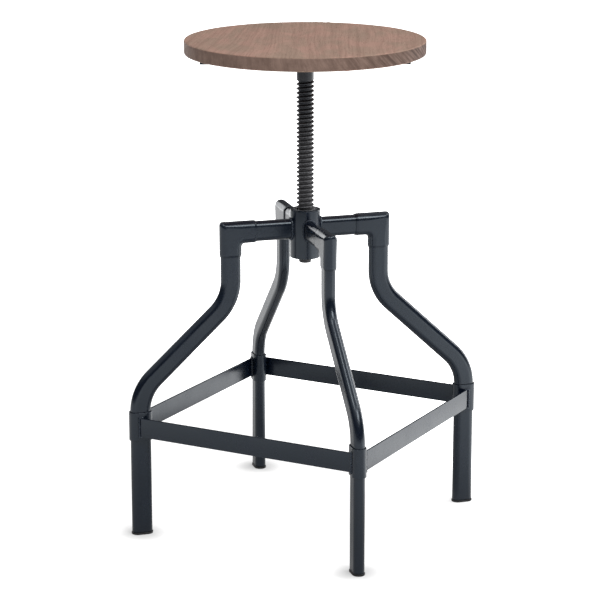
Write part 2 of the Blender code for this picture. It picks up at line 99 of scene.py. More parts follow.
ARM_LOW, ARM_HIGH = spread("arm_front_right", CORNERS["front_right"])
TUBE_WIDE = ARM_HIGH[2] - ARM_LOW[2]
TUBE_NARROW = ARM_HIGH[1] - ARM_LOW[1]
HUB_LOW, HUB_HIGH = spread("hub")
HUB_BORE, HUB_RADIUS = radii("hub")
NUT_LOW, NUT_HIGH = spread("hub_nut")
NECK_LOW, NECK_HIGH = spread("neck_sleeve")
NECK_BORE, NECK_RADIUS = radii("neck_sleeve")
SCREW_LOW, SCREW_HIGH = spread("lift_screw")
SCREW_RADIUS = radii("lift_screw")[1]
SPINDLE_RADIUS = radii("lift_screw", NECK_LOW[2] + 0.01)[1]
SEAT_LOW, SEAT_HIGH = spread("seat")
SEAT_RADIUS = radii("seat")[1]


# ---- Sizes and colours that a user would change --------------------------------------------------

def paint(red, green, blue):
    """Linear colour from screen values of 0 to 255: (value / 255) to the power 2.2 is near enough."""
    return tuple((np.array([red, green, blue]) / 255.0) ** 2.2)


def length(name, description, default):
    """A property that holds a length in metres."""
    return FloatProperty(name=name, description=description, default=default, min=0.0, soft_max=1.0,
                         precision=5, unit="LENGTH", subtype="DISTANCE")


def angle(name, description, degrees):
    """A property that holds an angle."""
    return FloatProperty(name=name, description=description, default=math.radians(degrees), subtype="ANGLE",
                         unit="ROTATION")


def brightness(name, description, default):
    """A property that holds a brightness."""
    return FloatProperty(name=name, description=description, default=default, min=0.0)


def share(name, description, default):
    """A property that holds a plain factor."""
    return FloatProperty(name=name, description=description, default=default, min=0.0, soft_max=1.0,
                         subtype="FACTOR")


def colour(name, description, default):
    """A property that holds a linear colour."""
    return FloatVectorProperty(name=name, description=description, default=default, min=0.0, max=1.0,
                               size=3, subtype="COLOR")


class StoolBaseProps(bpy.types.PropertyGroup):
    """Sizes and finish of the coated steel base."""

    bend_radius: length("Leg bend", "Radius of the two bends of each leg, at its middle line", 0.0635)
    leg_straight: length("Straight under elbow", "Straight length between elbow and upper bend", 0.0331)
    tube_wall: length("Tube wall", "Wall of the arm and leg tube", 0.0013)
    elbow_wall: length("Elbow wall", "Wall of the elbow sleeve", 0.0012)
    elbow_crook: length("Elbow crook", "Radius inside the elbow", 0.0042)
    elbow_corner: length("Elbow corner", "Radius outside the elbow", 0.0048)
    mouth_length: length("Mouth taper", "Length of the tapered mouth of an elbow sleeve", 0.0034)
    collar_wall: length("Collar wall", "Wall of the collar around the foot of each leg", 0.0011)
    bar_edge: length("Bar edge", "Rounding of the long edges of the footrest bars", 0.0007)
    weld_size: length("Weld size", "Half the thickness of a weld bead", 0.0019)
    weld_ripple: length("Weld ripple", "Spacing of the ripples along a weld bead", 0.0024)
    foot_flange: length("Foot flange", "Height of the foot plug below the tube end", 0.003)
    foot_proud: length("Foot proud", "How far the foot plug stands out past the tube", 0.0008)
    coat: colour("Coat", "Powder coat", paint(15, 22, 33))
    coat_light: colour("Coat, thin", "Powder coat where it is rubbed or thin", paint(50, 56, 66))
    bare: colour("Coat, worn", "Coat rubbed nearly through at the top of the hub", paint(118, 121, 125))
    coat_tint: colour("Coat gloss", "Cool cast of the powder coat's gloss", (0.82, 0.92, 1.0))
    coat_roughness: share("Coat roughness", "Middle roughness of the powder coat", 0.22)
    peel: length("Orange peel", "Size of the orange peel in the coat", 0.0014)
    plastic: colour("Foot plastic", "Moulded foot plugs", paint(26, 27, 30))
    scuffed: colour("Foot plastic, scuffed", "Foot plugs where they rub the floor", paint(84, 84, 86))


class StoolScrewProps(bpy.types.PropertyGroup):
    """Sizes and finish of the lifting screw, its nut and the parts under the seat."""

    pitch: length("Thread pitch", "Rise of one turn of the thread", 0.0061)
    depth: length("Thread depth", "How deep the thread is cut", 0.0030)
    crest: length("Thread crest", "Flat top of the thread", 0.0013)
    flank: length("Thread flank", "Height over which the flank slopes", 0.0016)
    crest_height: length("Crest height", "Height of one crest on the +X side", 0.61856)
    clearance: length("Nut clearance", "Gap between the nut's thread and the screw's", 0.0004)
    nub_radius: length("End radius", "Radius of the plain end below the thread", 0.0086)
    nub_length: length("End length", "Length of the plain end below the thread", 0.0078)
    steel: colour("Steel", "Blackened steel of the screw", paint(52, 52, 54))
    # Painted shade: the darker blue-black that the steel turns toward the top, under the seat
    seat_shaded_steel: colour("Steel in painted seat shade", "Steel of the neck and of the upper thread", paint(20, 26, 34))
    worn: colour("Worn steel", "Steel on the crests of the thread", paint(96, 97, 100))
    zinc: colour("Zinc", "Plated wood screws", paint(176, 178, 180))
    zinc_dull: colour("Zinc, dull", "Darker crystals of the plating", paint(142, 145, 148))


class StoolSeatProps(bpy.types.PropertyGroup):
    """Shape and colours of the wooden seat."""

    top_round: length("Top edge", "Rounding of the seat's top edge", 0.0023)
    bottom_round: length("Bottom edge", "Rounding of the seat's bottom edge", 0.0028)
    grain_turn: angle("Grain direction", "Direction that the grain runs in", 117.97)
    grain_spacing: length("Grain spacing", "Distance between grain lines", 0.0034)
    pink: colour("Pink brown", "Warm patches of the seat", paint(160, 128, 115))
    green: colour("Grey green", "Cool patches of the seat", paint(143, 122, 108))
    dark: colour("Pore", "Open pores in the wood", paint(88, 66, 56))
    side: colour("Edge", "Seat's edge", paint(128, 107, 97))
    # Colour of the edge's streaks and pores, and of the painted shade toward one side of the edge
    edge_streak_and_shade: colour("Edge streak", "Streaks in the seat's edge", paint(72, 57, 51))


class StoolStageProps(bpy.types.PropertyGroup):
    """Camera, floor and studio light."""

    lens: FloatProperty(name="Lens", description="Focal length in millimetres", default=149.75, min=1.0)
    sensor: FloatProperty(name="Sensor", description="Sensor width in millimetres", default=36.0, min=1.0)
    bearing: angle("Bearing", "Direction of the camera from the stool", -62.03)
    distance: length("Distance", "Level distance of the camera from the stool's axis", 3.366)
    height: length("Height", "Height of the camera above the floor", 1.189)
    pitch: angle("Pitch", "How far the camera looks down", 14.505)
    yaw: angle("Yaw", "How far the camera looks to the left of the axis", 0.12)
    floor: colour("Floor", "Pale studio floor", (0.5, 0.5, 0.5))
    wall: brightness("Walls", "Brightness of the dim studio walls", 0.1)
    ceiling: brightness("Ceiling", "Brightness of the soft light overhead", 0.68)
    glow: brightness("Floor glow", "How much lighter the floor looks than it lights the stool", 0.56)
    lit_side: brightness("Lit side", "Extra glow of the floor on one side of the stool", 1.5)
    lit_bearing: angle("Lit side's bearing", "Direction of the lit side, from the camera's", 124.0)
    # Painted contact shadow: how far the floor's glow dips around each foot
    painted_foot_shadow: brightness("Painted contact shadow", "How much less the floor glows around each foot", 0.36)
    sweep: brightness("Sweep", "Glow of the lit floor away from the stool", 0.85)


# ---- Surfaces on a grid --------------------------------------------------------------------------

def lattice(points, wrap_rows=False):
    """Points on a grid, joined into four-sided faces.

    The last column joins the first, and so does the last row where the rows are wrapped.
    """
    rows, columns = points.shape[:2]
    index = np.arange(rows * columns).reshape(rows, columns)
    if wrap_rows:
        index = np.vstack([index, index[:1]])
    return points.reshape(-1, 3), index_faces(np.hstack([index, index[:, :1]]))


def index_faces(index):
    """Four-sided faces between neighbours in a table of point numbers."""
    return np.stack([index[:-1, :-1], index[:-1, 1:], index[1:, 1:], index[1:, :-1]], axis=-1).reshape(-1, 4)


def piece(name, skins, finish, body, nodes=(), crease=38.0):
    """One closed mesh piece made from one or more grids, riding on a body and standing for CAD nodes.

    Doubles are merged, faces turned to point outward, and edges sharper than the crease angle stay sharp.
    """
    counts = np.cumsum([0] + [len(points) for points, _ in skins[:-1]])
    points = np.vstack([points for points, _ in skins])
    faces = np.vstack([faces + count for (_, faces), count in zip(skins, counts)])
    mesh = bpy.data.meshes.new(name)
    mesh.vertices.add(len(points))
    mesh.vertices.foreach_set("co", points.ravel())
    mesh.loops.add(faces.size)
    mesh.loops.foreach_set("vertex_index", faces.ravel())
    mesh.polygons.add(len(faces))
    mesh.polygons.foreach_set("loop_start", np.arange(0, faces.size, 4))
    mesh.update(calc_edges=True)
    form = bmesh.new()
    form.from_mesh(mesh)
    bmesh.ops.remove_doubles(form, verts=form.verts, dist=MERGE)
    bmesh.ops.recalc_face_normals(form, faces=form.faces)
    if any(len(edge.link_faces) != 2 for edge in form.edges):
        raise ValueError(f"{name} is not closed")
    form.to_mesh(mesh)
    form.free()
    placed(name, mesh, finish, body, nodes, crease)


def tube(name, shape, degrees, node):
    """Coated closed tube of the base, turned to the corner that it stands at."""
    piece(name, [lattice(turned(shape, degrees), wrap_rows=True)], coat_finish(), "base",
          [node])


def weld(name, shape, degrees):
    """Coated weld bead of the base, turned to its place."""
    piece(name, [lattice(turned(shape, degrees), wrap_rows=True)], weld_finish(), "base",
          crease=WELD_CREASE)


def placed(name, mesh, finish, body, nodes, crease):
    """Links a finished mesh as a piece, smooths it up to the crease angle and ties it to the frame."""
    mesh.shade_smooth()
    mesh.set_sharp_from_angle(angle=math.radians(crease))
    mesh.materials.clear()
    mesh.materials.append(finish)
    made = bpy.data.objects.new(name, mesh)
    bpy.context.scene.collection.objects.link(made)
    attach(made, body)
    if nodes:
        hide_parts(*nodes)
    return made


def smooth_step(value):
    """0 below 0, 1 above 1, and an even S between: 3 v^2 - 2 v^3."""
    value = np.clip(value, 0.0, 1.0)
    return value * value * (3.0 - 2.0 * value)


def softened(corners, sizes, closed=False, steps=6):
    """Profile whose corners are rounded: each one becomes a parabola between its two sides.

    Point = (1 - t)^2 * start + 2 t (1 - t) * corner + t^2 * end, with start and end one size away from the
    corner.
    """
    corners = np.array(corners, float)
    sizes = np.array(sizes, float)[:, None]
    before, after = np.roll(corners, 1, axis=0) - corners, np.roll(corners, -1, axis=0) - corners
    if not closed:
        before[0], after[-1] = 0.0, 0.0
    start = corners + before / np.maximum(np.linalg.norm(before, axis=1, keepdims=True), MERGE) * sizes
    end = corners + after / np.maximum(np.linalg.norm(after, axis=1, keepdims=True), MERGE) * sizes
    t = np.linspace(0.0, 1.0, steps + 1)[None, :, None]
    curve = (1 - t) ** 2 * start[:, None] + 2 * t * (1 - t) * corners[:, None] + t * t * end[:, None]
    return curve.reshape(-1, 2)


def revolved(radius, height, columns=HUB_COLUMNS):
    """Profile turned about the upright axis: x = radius * cosine, y = radius * sine, z = height."""
    turn = np.linspace(0.0, FULL_TURN, columns, endpoint=False)[None, :]
    radius, height = np.asarray(radius), np.asarray(height)
    if radius.ndim == 1:
        radius, height = radius[:, None], height[:, None]
    return np.stack([radius * np.cos(turn), radius * np.sin(turn), height + 0.0 * turn], axis=-1)


def ovals(wide, narrow):
    """Flat-sided oval rings, one row each: two half circles as thick as the narrow size, joined by flats.

    Along = +-(wide - narrow) / 2 + narrow / 2 * cosine, across = narrow / 2 * sine.
    """
    half = np.linspace(-math.pi / 2, math.pi / 2, ROUND_STEPS + 1)
    flat = np.array([0.93, 0.5, 0.0, -0.5, -0.93])
    centre = np.concatenate([np.ones(len(half)), flat, -np.ones(len(half)), -flat])
    cosine = np.concatenate([np.cos(half), 0 * flat, -np.cos(half), 0 * flat])
    sine = np.concatenate([np.sin(half), 0 * flat + 1, -np.sin(half), 0 * flat - 1])
    wide, narrow = np.broadcast_arrays(np.atleast_1d(wide)[:, None], np.atleast_1d(narrow)[:, None])
    along = centre * (wide - narrow) / 2 + cosine * narrow / 2
    return along, sine * narrow / 2


def walled(count, wall, taper=None):
    """Order of stations for a tube with a wall: down the outside, over a lip, up the inside, over a lip.

    Returns the station numbers, how far each ring is set in from the outside, and how far it slides along.
    A lip is half round: set in by (1 - cosine) / 2 of the wall and slid by sine / 2 of it.
    """
    taper = np.zeros(count) if taper is None else taper
    lip = np.linspace(0.0, math.pi, LIP_STEPS + 1)
    rise, bow = (1 - np.cos(lip)) / 2, np.sin(lip) / 2
    last, first = wall - taper[-1], wall - taper[0]
    middle = np.arange(1, count - 1)
    station = np.concatenate([middle, np.full(len(lip), count - 1), middle[::-1], np.zeros(len(lip), int)])
    inset = np.concatenate([taper[1:-1], taper[-1] + last * rise, np.full(count - 2, wall),
                            taper[0] + first * rise[::-1]])
    slide = np.concatenate([0.0 * middle, last * (bow - 0.5), 0.0 * middle, first * (0.5 - bow[::-1])])
    return station, inset, slide


def carried(out, up, tilt, wide, narrow, wall, taper=None):
    """Walled oval tube carried down a route in the plane of a leg, in the corner's own frame.

    A ring stands square to the route, whose direction is (sine, -cosine) of the tilt; its wide axis is
    (cosine, sine) of the tilt.
    """
    station, inset, slide = walled(len(out), wall, taper)
    wide = np.broadcast_to(wide, out.shape)[station]
    along, across = ovals(wide - 2 * inset, narrow - 2 * inset)
    cosine, sine = np.cos(tilt[station])[:, None], np.sin(tilt[station])[:, None]
    ring_out = out[station][:, None] + slide[:, None] * sine + along * cosine
    ring_up = up[station][:, None] - slide[:, None] * cosine + along * sine
    return np.stack([ring_out, across, ring_up], axis=-1)


def bead(path, first, second, size, ripple):
    """Weld bead: a closed rope along a path, with a lapped ripple and a slow unevenness in its thickness.

    Point = path + thickness * (first * cosine * 1.25 + second * sine), with thickness = size * (0.9 +
    ripple + waver).
    """
    step = np.linalg.norm(np.roll(path, -1, axis=0) - path, axis=1)
    run = np.concatenate([[0.0], np.cumsum(step)[:-1]])
    whole = step.sum()
    laps = max(round(whole / ripple), 3)
    place = (run / whole * laps) % 1.0
    around = FULL_TURN * run / whole
    waver = 0.09 * np.sin(3 * around + 1.3) + 0.06 * np.sin(7 * around + 0.4)
    thickness = size * (0.9 + 0.2 * (1 - place) ** 0.7 * smooth_step(place * 6) + waver)
    turn = np.linspace(0.0, FULL_TURN, 14, endpoint=False)[None, :, None]
    ring = first[:, None] * np.cos(turn) * 1.25 + second[:, None] * np.sin(turn)
    return path[:, None] + thickness[:, None, None] * ring


def evenly(path, spacing):
    """A closed path walked again at an even spacing."""
    closed = np.vstack([path, path[:1]])
    run = np.concatenate([[0.0], np.cumsum(np.linalg.norm(np.diff(closed, axis=0), axis=1))])
    count = int(round(run[-1] / spacing))
    place = np.linspace(0.0, run[-1], count, endpoint=False)
    return np.stack([np.interp(place, run, closed[:, axis]) for axis in range(path.shape[1])], axis=-1)


# ---- Finishes ------------------------------------------------------------------------------------

def put(tree, kind, inputs=None, **settings):
    """Adds a shader node, sets it up and fills its inputs."""
    node = tree.nodes.new("ShaderNode" + kind)
    for key, value in settings.items():
        setattr(node, key, value)
    for key, value in (inputs or {}).items():
        fill(tree, node.inputs[key], value)
    return node


def fill(tree, socket, value):
    """Joins a socket to another, or gives it a value."""
    if isinstance(value, bpy.types.NodeSocket):
        tree.links.new(value, socket)
    else:
        socket.default_value = value


def new_finish(name, metallic=0.0):
    """An empty finish: its material, node tree, shader and object coordinates."""
    finish = bpy.data.materials.new(name)
    finish.use_nodes = True
    tree = finish.node_tree
    shader = tree.nodes["Principled BSDF"]
    shader.inputs["Metallic"].default_value = metallic
    return finish, tree, shader, put(tree, "TexCoord").outputs["Object"]


def dress(tree, shader, tint, roughness, relief):
    """Joins a finish's colour, roughness and relief to its shader."""
    fill(tree, shader.inputs["Base Color"], tint)
    fill(tree, shader.inputs["Roughness"], roughness)
    fill(tree, shader.inputs["Normal"], relief)


def mapped(tree, place, scale=(1, 1, 1), turn=0.0, shift=(0, 0, 0)):
    """Coordinates shifted, stretched and turned about the upright axis."""
    return put(tree, "Mapping", {"Vector": place, "Scale": scale, "Rotation": (0, 0, turn),
                                 "Location": shift}).outputs[0]


def cloud(tree, place, scale, detail=2.0, roughness=0.5, distortion=0.0):
    """Soft random pattern from 0 to 1."""
    return put(tree, "TexNoise", {"Vector": place, "Scale": scale, "Detail": detail, "Roughness": roughness,
                                  "Distortion": distortion}).outputs[0]


def levels(tree, value, low, high, new_low=0.0, new_high=1.0, smooth=False):
    """A value's range moved to a new range, and held inside it."""
    kind = "SMOOTHSTEP" if smooth else "LINEAR"
    return put(tree, "MapRange", {0: value, 1: low, 2: high, 3: new_low, 4: new_high},
               interpolation_type=kind).outputs[0]


def reckon(tree, operation, first, second=0.0):
    """One sum, product or other operation on two values."""
    return put(tree, "Math", {0: first, 1: second}, operation=operation).outputs[0]


def mixed(tree, amount, first, second):
    """Two colours mixed."""
    opaque = [(*tint, 1.0) if isinstance(tint, tuple) else tint for tint in (first, second)]
    return put(tree, "Mix", {0: amount, 6: opaque[0], 7: opaque[1]}, data_type="RGBA").outputs[2]


def bumped(tree, height, distance, below=None):
    """Relief of a given height in metres, on top of another relief."""
    inputs = {"Height": height, "Distance": distance, "Strength": 1.0}
    if below is not None:
        inputs["Normal"] = below
    return put(tree, "Bump", inputs).outputs[0]


def shade(tint, factor=1.0):
    """A colour as plain numbers, made lighter or darker by a factor."""
    return tuple(value * factor for value in tint)


def away_from_axis(tree, place):
    """Distance from the upright axis."""
    flat = put(tree, "VectorMath", {0: place, 1: (1, 1, 0)}, operation="MULTIPLY").outputs[0]
    return put(tree, "VectorMath", {0: flat}, operation="LENGTH").outputs["Value"]


def up_of(tree, place):
    """Height of a point."""
    return put(tree, "SeparateXYZ", {0: place}).outputs[2]


def coat_finish():
    """Satin powder coat: orange peel, grain, cloudy gloss, thin spots, and a rub around the screw."""
    known = bpy.data.materials.get("powder_coat")
    if known:
        return known
    base = bpy.context.scene.stool_base
    finish, tree, shader, place = new_finish("powder_coat")
    shader.inputs["Specular IOR Level"].default_value = 0.5
    shader.inputs["Specular Tint"].default_value = (*base.coat_tint, 1.0)
    peel = cloud(tree, place, 1.0 / base.peel, 2.0, 0.45)
    grain = cloud(tree, place, 3.4 / base.peel, 2.0, 0.6)
    patches = cloud(tree, place, 22.0, 3.0, 0.55)
    rubs = cloud(tree, mapped(tree, place, (1, 1, 0.45), shift=(0.3, 0.1, 0.0)), 75.0, 5.0, 0.7, 0.4)
    tint = mixed(tree, levels(tree, patches, 0.3, 0.75), shade(base.coat, 0.9),
                 shade(base.coat, 1.18))
    tint = mixed(tree, levels(tree, rubs, 0.60, 0.82, 0.0, 0.22), tint, shade(base.coat_light))
    specks = levels(tree, grain, 0.66, 0.78, 0.0, 0.16)
    tint = mixed(tree, specks, tint, shade(base.coat_light))
    reach = away_from_axis(tree, place)
    near = levels(tree, reach, HUB_BORE + 0.0016, SCREW_RADIUS + 0.0014, 0.0, 1.0, True)
    below = reckon(tree, "ABSOLUTE", reckon(tree, "SUBTRACT", up_of(tree, place), HUB_HIGH[2]))
    top = levels(tree, below, 0.0002, 0.0016, 1.0, 0.0, True)
    worn = reckon(tree, "MULTIPLY", top, levels(tree, rubs, 0.3, 0.6, 0.35, 0.9))
    tint = mixed(tree, reckon(tree, "MULTIPLY", near, worn), tint, shade(base.bare))
    gloss = levels(tree, patches, 0.3, 0.7, base.coat_roughness - 0.05, base.coat_roughness + 0.06)
    gloss = reckon(tree, "ADD", gloss, levels(tree, rubs, 0.5, 0.8, 0.0, 0.08))
    dress(tree, shader, tint, gloss, bumped(tree, grain, 0.000012, bumped(tree, peel, 0.00005)))
    return finish


def weld_finish():
    """Weld bead under the coat: same coat, glossier, with heat-drawn ripples and pits."""
    known = bpy.data.materials.get("coated_weld")
    if known:
        return known
    base = bpy.context.scene.stool_base
    finish, tree, shader, place = new_finish("coated_weld")
    shader.inputs["Specular Tint"].default_value = (*base.coat_tint, 1.0)
    lumps = cloud(tree, place, 520.0, 3.0, 0.6)
    fine = cloud(tree, place, 2300.0, 2.0, 0.6)
    tint = mixed(tree, levels(tree, lumps, 0.4, 0.7), shade(base.coat), shade(base.coat_light))
    dress(tree, shader, tint, levels(tree, lumps, 0.3, 0.7, 0.16, 0.3),
          bumped(tree, fine, 0.00003, bumped(tree, lumps, 0.0003)))
    return finish


def steel_finish():
    """Blackened screw steel: crests rubbed bright, painted shade of the seat that darkens it toward the top,
    and fine turning marks.
    """
    known = bpy.data.materials.get("blackened_steel")
    if known:
        return known
    screw = bpy.context.scene.stool_screw
    finish, tree, shader, place = new_finish("blackened_steel", metallic=0.35)
    reach = away_from_axis(tree, place)
    crest = levels(tree, reach, SCREW_RADIUS - 0.0009, SCREW_RADIUS - 0.0001, 0.0, 1.0, True)
    smear = cloud(tree, mapped(tree, place, (1, 1, 1.5)), 160.0, 4.0, 0.65, 0.3)
    marks = cloud(tree, mapped(tree, place, (0.08, 0.08, 1.0)), 5200.0, 2.0, 0.6)
    grit = cloud(tree, place, 1500.0, 3.0, 0.6)
    smears = levels(tree, smear, 0.35, 0.7)
    tint = mixed(tree, smears, shade(screw.steel), shade(screw.steel, 1.35))
    rub = reckon(tree, "MULTIPLY", crest, levels(tree, smear, 0.30, 0.62, 0.15, 0.85))
    tint = mixed(tree, rub, tint, shade(screw.worn))
    # Painted shade of the seat: the steel darkens to blue-black toward the top of the screw and on the neck
    painted_seat_shade = levels(tree, up_of(tree, place), NECK_LOW[2] - 0.11, NECK_LOW[2] - 0.01, 0.0, 0.75, True)
    tint = mixed(tree, painted_seat_shade, tint, shade(screw.seat_shaded_steel))
    gloss = levels(tree, smear, 0.3, 0.7, 0.36, 0.5)
    gloss = reckon(tree, "SUBTRACT", gloss, reckon(tree, "MULTIPLY", rub, 0.1))
    dress(tree, shader, tint, gloss, bumped(tree, grit, 0.00003, bumped(tree, marks, 0.00003)))
    return finish


def zinc_finish():
    """Bright zinc plate: fine crystals and a little cloudy dulling."""
    known = bpy.data.materials.get("zinc_plate")
    if known:
        return known
    screw = bpy.context.scene.stool_screw
    finish, tree, shader, place = new_finish("zinc_plate", metallic=1.0)
    crystals = put(tree, "TexVoronoi", {"Vector": place, "Scale": 1400.0}).outputs["Color"]
    dull = cloud(tree, place, 600.0, 3.0, 0.6)
    grey = put(tree, "RGBToBW", {0: crystals}).outputs[0]
    tint = mixed(tree, levels(tree, grey, 0.0, 1.0, 0.0, 0.5), shade(screw.zinc), shade(screw.zinc_dull))
    dress(tree, shader, tint, levels(tree, dull, 0.3, 0.7, 0.22, 0.4), bumped(tree, dull, 0.00002))
    return finish


def plastic_finish():
    """Moulded black foot plastic: fine spark-eroded grain, scuffed paler near the floor."""
    known = bpy.data.materials.get("moulded_plastic")
    if known:
        return known
    base = bpy.context.scene.stool_base
    finish, tree, shader, place = new_finish("moulded_plastic")
    grain = cloud(tree, place, 1900.0, 3.0, 0.6)
    scuffs = cloud(tree, mapped(tree, place, (1, 1, 6)), 220.0, 5.0, 0.7, 0.6)
    low = levels(tree, up_of(tree, place), base.foot_flange, 0.0, 0.0, 1.0)
    rub = reckon(tree, "MULTIPLY", low, levels(tree, scuffs, 0.5, 0.75, 0.0, 0.55))
    tint = mixed(tree, rub, shade(base.plastic), shade(base.scuffed))
    dress(tree, shader, tint, levels(tree, grain, 0.3, 0.7, 0.5, 0.66), bumped(tree, grain, 0.00004))
    return finish


def wood_finish():
    """Open-grained seat wood: warm and cool patches, long grain lines and dark pores on both faces.

    The edge is darker, with streaks that lean more toward one side, and painted shade that makes its
    streaks stronger toward negative y across the grain.
    """
    known = bpy.data.materials.get("open_grained_wood")
    if known:
        return known
    seat = bpy.context.scene.stool_seat
    finish, tree, shader, place = new_finish("open_grained_wood")
    shader.inputs["Specular IOR Level"].default_value = 0.12
    level = mapped(tree, place, turn=-seat.grain_turn)
    axes = put(tree, "SeparateXYZ", {0: level})
    drift = cloud(tree, mapped(tree, level, (3, 9, 1)), 1.0, 2.0, 0.5)
    lean = levels(tree, axes.outputs[1], 0.02, 0.13, 0.0, 0.15, True)
    across = reckon(tree, "ADD", axes.outputs[1], reckon(tree, "MULTIPLY", lean, axes.outputs[0]))
    across = reckon(tree, "ADD", across, levels(tree, drift, 0.0, 1.0, -0.012, 0.012))
    board = put(tree, "CombineXYZ", {0: axes.outputs[0], 1: across, 2: axes.outputs[2]}).outputs[0]
    lines = 1.0 / seat.grain_spacing
    grain = cloud(tree, mapped(tree, board, (5.0, lines, 40.0)), 1.0, 3.0, 0.55)
    fine = cloud(tree, mapped(tree, board, (22.0, lines * 4.0, 160.0)), 1.0, 2.0, 0.6)
    pores = cloud(tree, mapped(tree, board, (70.0, lines * 5.5, 300.0)), 1.0, 1.0, 0.5)
    patches = cloud(tree, mapped(tree, board, (12.0, 26.0, 10.0)), 1.0, 4.0, 0.6, 0.5)
    broad = cloud(tree, mapped(tree, board, (3.0, 9.0, 3.0), shift=(0.7, 0.2, 0.0)), 1.0, 2.0, 0.5)
    cool = levels(tree, patches, 0.36, 0.64, 0.0, 1.0, True)
    tint = mixed(tree, cool, shade(seat.pink), shade(seat.green))
    tint = mixed(tree, levels(tree, broad, 0.35, 0.65, 0.0, 0.3), tint, shade(seat.pink, 0.82))
    tint = mixed(tree, levels(tree, grain, 0.42, 0.66, 0.0, 0.24), tint, shade(seat.dark))
    tint = mixed(tree, levels(tree, fine, 0.45, 0.8, 0.0, 0.22), tint, shade(seat.dark))
    hole = levels(tree, pores, 0.62, 0.72)
    tint = mixed(tree, reckon(tree, "MULTIPLY", hole, 0.35), tint, shade(seat.dark, 0.6))
    lean_up = reckon(tree, "MULTIPLY", reckon(tree, "SUBTRACT", axes.outputs[2], SEAT_LOW[2]),
                     levels(tree, axes.outputs[1], 0.02, -0.14, 1.0, 9.0))
    edge_place = put(tree, "VectorRotate", {"Vector": level, "Angle": lean_up},
                     rotation_type="Z_AXIS").outputs[0]
    streaks = cloud(tree, mapped(tree, edge_place, (150.0, 150.0, 26.0)), 1.0, 4.0, 0.6)
    edge_fine = cloud(tree, mapped(tree, edge_place, (560.0, 560.0, 70.0)), 1.0, 2.0, 0.6)
    mottle = cloud(tree, level, 70.0, 3.0, 0.6)
    # Painted shade: the edge's dark streaks grow stronger toward negative y across the grain, darkening that
    # side
    right = levels(tree, axes.outputs[1], -0.02, -0.13, 0.22, 1.0)
    streaks_and_shade = reckon(tree, "MULTIPLY", levels(tree, streaks, 0.3, 0.6), right)
    edge_tint = mixed(tree, streaks_and_shade, shade(seat.side), shade(seat.edge_streak_and_shade))
    edge_tint = mixed(tree, levels(tree, mottle, 0.35, 0.7, 0.0, 0.4), edge_tint, shade(seat.edge_streak_and_shade))
    edge_pores = levels(tree, edge_fine, 0.55, 0.8, 0.0, 0.3)
    edge_tint = mixed(tree, edge_pores, edge_tint, shade(seat.edge_streak_and_shade, 0.6))
    half = (SEAT_HIGH[2] - SEAT_LOW[2]) / 2
    from_middle = reckon(tree, "SUBTRACT", up_of(tree, place), SEAT_LOW[2] + half)
    from_middle = reckon(tree, "ABSOLUTE", from_middle)
    on_face = levels(tree, from_middle, half - 0.0019, half - 0.0007, 0.0, 1.0, True)
    gloss = levels(tree, patches, 0.3, 0.7, 0.62, 0.72)
    gloss = reckon(tree, "ADD", gloss, reckon(tree, "MULTIPLY", hole, 0.2))
    relief = bumped(tree, fine, 0.00006, bumped(tree, grain, 0.00016))
    relief = bumped(tree, reckon(tree, "SUBTRACT", 1.0, hole), 0.00012, relief)
    relief = bumped(tree, streaks, 0.00006, relief)
    dress(tree, shader, mixed(tree, on_face, edge_tint, tint), gloss, relief)
    return finish


def floor_finish():
    """Pale matt studio floor with a faint unevenness in its tone and gloss.

    It glows brighter to the camera than it lights the stool, and that glow dips around each foot as a
    painted contact shadow; it lights the stool from its lit side and from the sweep far away.
    """
    stage = bpy.context.scene.stool_stage
    finish, tree, shader, place = new_finish("studio_floor")
    shader.inputs["Specular IOR Level"].default_value = 0.15
    tone = cloud(tree, place, 3.0, 3.0, 0.5)
    tint = mixed(tree, tone, shade(stage.floor, 0.99), shade(stage.floor))
    fill(tree, shader.inputs["Base Color"], tint)
    fill(tree, shader.inputs["Roughness"], levels(tree, tone, 0.3, 0.7, 0.85, 0.95))
    shader.inputs["Emission Color"].default_value = (1.0, 1.0, 1.0, 1.0)
    reach = away_from_axis(tree, place)
    far = reckon(tree, "MULTIPLY", levels(tree, reach, 0.0, 1.25, 0.0, stage.sweep, True),
                 levels(tree, reach, 2.2, 3.6, 1.0, 0.0, True))
    lit_way = stage.bearing + stage.lit_bearing
    toward = put(tree, "VectorMath", {0: place, 1: (math.cos(lit_way), math.sin(lit_way), 0.0)},
                 operation="DOT_PRODUCT").outputs["Value"]
    patch = reckon(tree, "MULTIPLY", levels(tree, toward, 0.14, 0.44, 0.0, stage.lit_side, True),
                   levels(tree, toward, 0.48, 1.0, 1.0, 0.5, True))
    quarter = put(tree, "VectorMath", {0: place}, operation="ABSOLUTE").outputs[0]
    low, high = spread("foot_plug_back_right")
    foot = ((low[0] + high[0]) / 2, (low[1] + high[1]) / 2, 0.0)
    near_foot = put(tree, "VectorMath", {0: quarter, 1: foot}, operation="DISTANCE").outputs["Value"]
    # Painted contact shadow: the floor's camera glow dips around each foot
    dark = levels(tree, near_foot, 0.01, 0.047, stage.painted_foot_shadow, 0.0, True)
    seen = put(tree, "LightPath").outputs["Is Camera Ray"]
    own = levels(tree, reach, 1.0, 3.0, stage.glow, 1.0)
    glow = reckon(tree, "MULTIPLY", seen, reckon(tree, "SUBTRACT", own, dark))
    lit = reckon(tree, "ADD", far, patch)
    fill(tree, shader.inputs["Emission Strength"], reckon(tree, "ADD", lit, glow))
    return finish


# ---- Base ----------------------------------------------------------------------------------------

def thread_reach(distance, screw):
    """How far the thread stands out of its root at a distance from the middle of the crest, along the axis.

    Full depth on the crest, then a straight flank eased a little at both ends, then the root.
    """
    slope = np.clip((screw.crest / 2 + screw.flank - distance) / screw.flank, 0.0, 1.0)
    return screw.depth * (0.6 * slope + 0.4 * smooth_step(slope))


def crest_distance(up, turn, screw):
    """Distance along the axis from the nearest crest of the right-hand thread."""
    place = (up - screw.crest_height) / screw.pitch - turn / FULL_TURN
    return np.abs((place + 0.5) % 1.0 - 0.5) * screw.pitch


